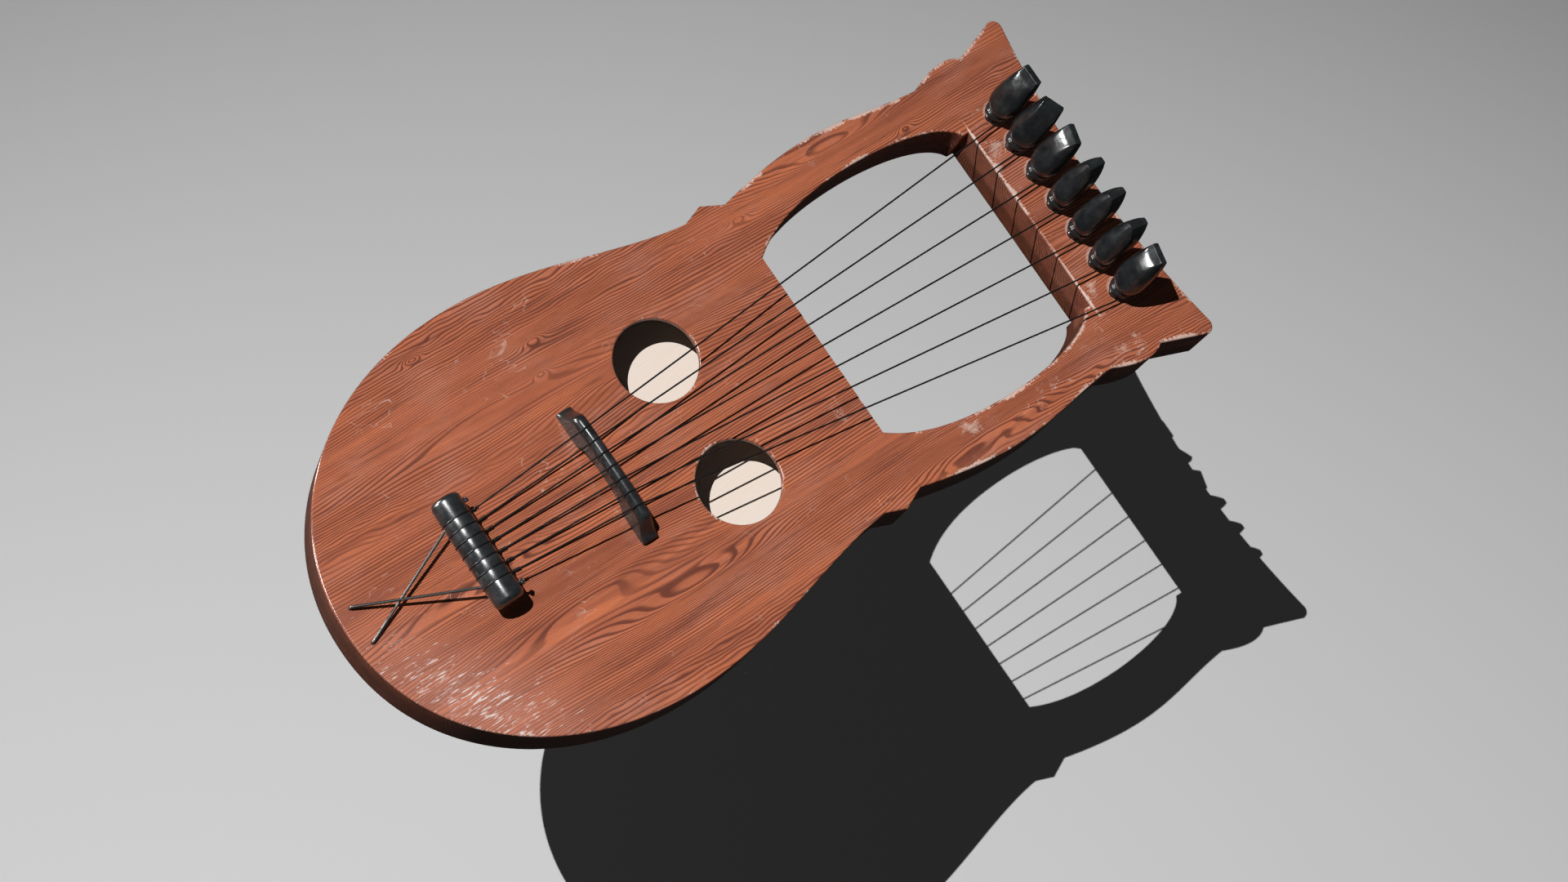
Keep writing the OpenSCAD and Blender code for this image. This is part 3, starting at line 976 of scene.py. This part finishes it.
def tube(name, points, radius, sides=16):
    """A closed round tube along the points; radius is one number or one per point."""
    points = [Vector(p) for p in points]
    radii = radius if isinstance(radius, list) else [radius] * len(points)
    vertices = [points[0]]
    along = (points[1] - points[0]).normalized()
    normal = along.orthogonal().normalized()
    for k, p in enumerate(points):
        if k:
            way = (p - points[k - 1]).normalized()
            if k < len(points) - 1:
                way = (way + (points[k + 1] - p).normalized()).normalized()
            normal = along.rotation_difference(way) @ normal
            along = way
        normal = (normal - along * normal.dot(along)).normalized()
        across = along.cross(normal)
        vertices += [p + (normal * math.cos(a) + across * math.sin(a)) * radii[k]
                     for a in (2 * math.pi * i / sides for i in range(sides))]
    vertices.append(points[-1])
    return mesh_piece(name, vertices, ring_faces(len(points), sides))


def rounded(points, r, n=8):
    """The polyline with its corners rounded."""
    points = [Vector(p) for p in points]
    result = [points[0]]
    for a, b, c in zip(points, points[1:], points[2:]):
        start, end = b + (a - b).normalized() * r, b + (c - b).normalized() * r
        result += [start.lerp(b, t / n).lerp(b.lerp(end, t / n), t / n) for t in range(n + 1)]
    return result + [points[-1]]


def divided(a, b, step):
    n = max(1, round((Vector(b) - Vector(a)).length / step))
    return [Vector(a).lerp(Vector(b), k / n) for k in range(n)]


for i in range(string_count):
    x = (i - middle) * tail_pitch
    ring_r = tail_r + 0.22
    start, crest, end = tail_end(i), on_crest(i), peg_end(i)
    ring = []
    for k in range(97):
        a = 2 * math.pi * k / 96
        ring.append((x, tail_y + ring_r * math.cos(a), tail_z + ring_r * math.sin(a)))
    parts = [tube("ring", ring[1:] + ring[:2], 0.42)]
    toward = (crest - start).normalized()
    side = toward.cross(Vector((0, 0, 1))).normalized()
    lift = side.cross(toward)
    wrap = []
    for k in range(61):
        t = k / 60
        a = 2 * math.pi * 3.6 * t
        r = 0.82 if t < 0.94 else 0.82 - 5 * (t - 0.94)
        wrap.append(start + toward * (-1.2 + 4.4 * t) + (side * math.cos(a) + lift * math.sin(a)) * r)
    parts.append(tube("wrap", wrap, 0.42, 12))
    line = [start - toward * 1.4] + divided(start, crest - toward * 0.8, 6)
    after = (end - crest).normalized()
    bend = [crest - toward * 0.8, crest - toward * 0.35 + Vector((0, 0, 0.02)), crest + Vector((0, 0, 0.03)),
            crest + after * 0.35 + Vector((0, 0, 0.02)), crest + after * 0.8]
    line += bend + divided(crest + after * 3, end, 12)
    for k in range(61):
        a = math.radians(344) * k / 60
        line.append(axis_point(i, coil_top, coil_r * math.cos(a), coil_r * math.sin(a)))
    parts.append(tube("line", line, string_r))
    string = merged(f"string_wire_{i + 1}", parts)
    smooth(string, 60)
    place(string, LYRE, wire, "string_steel", f"string_{i + 1}")

knots = []
for side, node, name in ((-1, "tail_cord_left", "cord_left"), (1, "tail_cord_right", "cord_right")):
    knot = Vector((side * cord_knot_x, tail_y + tail_r + 2.05, tail_z + (2.5 if side > 0 else -1.5)))
    corner = Vector((-side * cord_x, cord_y, front_z + (3.6 if side > 0 else 1.8)))
    path = rounded([knot, corner, (corner.x, corner.y, 3.5)], 1.6)
    path = [path[0]] + divided(path[0], path[1], 3)[1:] + path[1:]
    cord = tube(name, path, cord_r, 20)
    smooth(cord, 60)
    place(cord, LYRE, cord_look, "tail_cord", node)
    behind = knot + (knot - corner).normalized() * 3
    combine(tailpiece, rod("cut", behind, corner, cord_r + 0.12, cord_r + 0.12, 24))
    anchor = Vector((-corner.x, cord_y, 3.5))
    ends = ((knot, 1.05, 0.72, knot - corner), (anchor, 1.5, 1.0, Vector((0, 0, 1))))
    for centre, size, thick, way in ends:
        turn = Vector(way).to_track_quat("Z", "Y")
        path = []
        for k in range(97):
            t = 2 * math.pi * k / 96
            p = Vector((math.sin(t) + 2 * math.sin(2 * t), math.cos(t) - 2 * math.cos(2 * t),
                        -1.4 * math.sin(3 * t)))
            path.append(centre + turn @ (p * size * 0.42))
        knots.append(tube("knot", path + path[1:2], thick, 14))
smooth(tailpiece, 40)
place(tailpiece, LYRE, tail_ebony, "ebony", "tailpiece")
knots = merged("cord_ends", knots)
smooth(knots, 60)
place(knots, LYRE, cord_look, "tail_cord", "cord_knots")

# ---------- Pegs ----------

peg_turn = [0, 29, -18, 90, 90, 84, -15]
ball_r, ball_s, head_s, head_r, tip_r, tip_t = 7.75, 7.9, 10.4, 10.8, 7.2, 4.4
groove_low, groove_high, groove_r = 4.0, 6.2, 5.85


def ball_at(s):
    return math.sqrt(max(ball_r ** 2 - (s - ball_s) ** 2, 0))


def peg_outline():
    """Radius and height pairs of a peg from the tip of its shaft to the end of its head."""
    low = ball_s - math.sqrt(ball_r ** 2 - shaft_r ** 2)
    points = [(shaft_tip_r - 0.5 + 0.5 * math.sin(a), 0.5 - shaft_l - 0.5 * math.cos(a))
              for a in (math.pi / 8 * k for k in range(5))]
    points += [(shaft_r - taper * 20, -20), (shaft_r, 0)]
    points += [(ball_at(s), s) for s in np.linspace(low + 0.02, groove_low - 0.15, 12)]
    points += [(ball_at(groove_low) - 0.15, groove_low), (groove_r, groove_low + 0.03),
               (groove_r, groove_high - 0.03), (ball_at(groove_high) - 0.15, groove_high)]
    points += [(ball_at(s), s) for s in np.linspace(groove_high + 0.15, ball_s, 6)]
    points += curve((ball_r, ball_s + 0.3), (ball_r, ball_s + 1.6), (7.05, head_s - 0.9), (7.0, head_s), 10)
    rise = curve((7.05, head_s + 0.35), (8.8, head_s + 2), (head_r, head_s + 5), (head_r, head_s + 12), 26)
    fall = curve(rise[-1], (head_r - 0.2, head_s + 25), (tip_r + 1.2, peg_top - 6), (tip_r, peg_top), 34)
    return points + rise + fall


def head_half(s):
    """Half the head's thickness at a height, which falls to the chisel end."""
    heights = [head_s, 27, 33, 37, 41, 44, 46.5, 49.2, peg_top]
    return float(np.interp(s, heights, [8.5, 8.5, 8.4, 8.0, 7.35, 6.5, 5.7, 4.7, tip_t / 2]))


def peg_piece(i):
    sides, bevel = 96, 0.5
    rings = [(r, s, 0.0) for r, s in peg_outline() if s < peg_top - bevel]
    rings += [(tip_r + 0.15 * (1 - t), peg_top - bevel + bevel * math.sin(math.pi / 2 * t),
               bevel * (1 - math.cos(math.pi / 2 * t))) for t in (0, 0.25, 0.5, 0.75, 1)]
    turn = Matrix.Rotation(math.radians(peg_turn[i]), 2)
    vertices = []
    for r, s, inset in rings:
        clip = head_half(s) - inset
        for k in range(sides):
            a = 2 * math.pi * k / sides
            across, thick = (r - inset) * math.cos(a), (r - inset) * math.sin(a)
            if s > head_s and abs(thick) > 0.01:
                thick = math.copysign((abs(thick) ** -9 + clip ** -9) ** (-1 / 9), thick)
            vertices.append(axis_point(i, s, *(turn @ Vector((across, thick)))))
    faces = []
    for a in range(0, (len(rings) - 1) * sides, sides):
        faces += quads(a, a + sides, sides)
    faces += [tuple(range(sides)), tuple(range(len(vertices) - sides, len(vertices)))]
    piece = mesh_piece(f"tuning_peg_{i + 1}", vertices, faces)
    smooth(piece, 40)
    return piece


for i in range(string_count):
    place(peg_piece(i), f"peg_{i + 1}", ebony, "ebony", f"peg_{i + 1}")

# ---------- Floor, light and camera ----------

floor_z = -0.515  # the lyre hangs above the floor and its shadow falls clear of it
bpy.ops.mesh.primitive_plane_add(size=12, location=(0, 0, floor_z))
floor = bpy.context.object
floor.name = "floor"
floor.data.materials.append(floor_look())
floor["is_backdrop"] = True
floor.visible_glossy = False
floor.visible_diffuse = False

world = bpy.data.worlds.new("studio")
world.use_nodes = True
world.node_tree.nodes["Background"].inputs["Color"].default_value = (0.80, 0.80, 0.80, 1)
world.node_tree.nodes["Background"].inputs["Strength"].default_value = 0.027
scene.world = world
scene.view_settings.view_transform = "Standard"


def area(name, location, target, size, power):
    light = bpy.data.lights.new(name, "AREA")
    light.shape = "RECTANGLE"
    light.size, light.size_y = size
    light.energy = power
    lamp = bpy.data.objects.new(name, light)
    lamp.location = location
    lamp.rotation_mode = "QUATERNION"
    lamp.rotation_quaternion = (Vector(target) - Vector(location)).to_track_quat("-Z", "Y")
    scene.collection.objects.link(lamp)
    return lamp


key_way = Vector((0.338, 0.372, -1.0))
key_distance = 5.97  # counted in key_way
key_data = bpy.data.lights.new("key", "SPOT")
key_data.energy = 1752
key_data.spot_size, key_data.spot_blend = 0.616, 1.0
key_data.shadow_soft_size = 0.007
key = bpy.data.objects.new("key", key_data)
key.location = Vector((0, 0, 0.03)) - key_way * key_distance
key.rotation_mode = "QUATERNION"
key.rotation_quaternion = (Vector((0.986, -0.281, floor_z)) - key.location).to_track_quat("-Z", "Y")
scene.collection.objects.link(key)
for place_at in ((-0.79, -0.60, 0.12), (-0.50, -0.86, 0.17)):
    lamp = area("rim", place_at, (0, 0.24, 0.06), (0.025, 0.025), 10)
    lamp.visible_diffuse = False

camera_data = bpy.data.cameras.new("camera")
camera_data.lens = 71.5
camera_data.sensor_width = 36
camera = bpy.data.objects.new("camera", camera_data)
right = Vector((0.5624, 0.7882, 0.2500))
up = Vector((-0.8190, 0.4896, 0.2991))
ahead = Vector((-0.1134, 0.3730, -0.9209))
turn = Matrix((right, up, -ahead)).transposed().to_4x4()
camera.matrix_world = Matrix.Translation((0.2523, -0.7037, 1.7773)) @ turn
scene.collection.objects.link(camera)
scene.camera = camera

low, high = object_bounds()
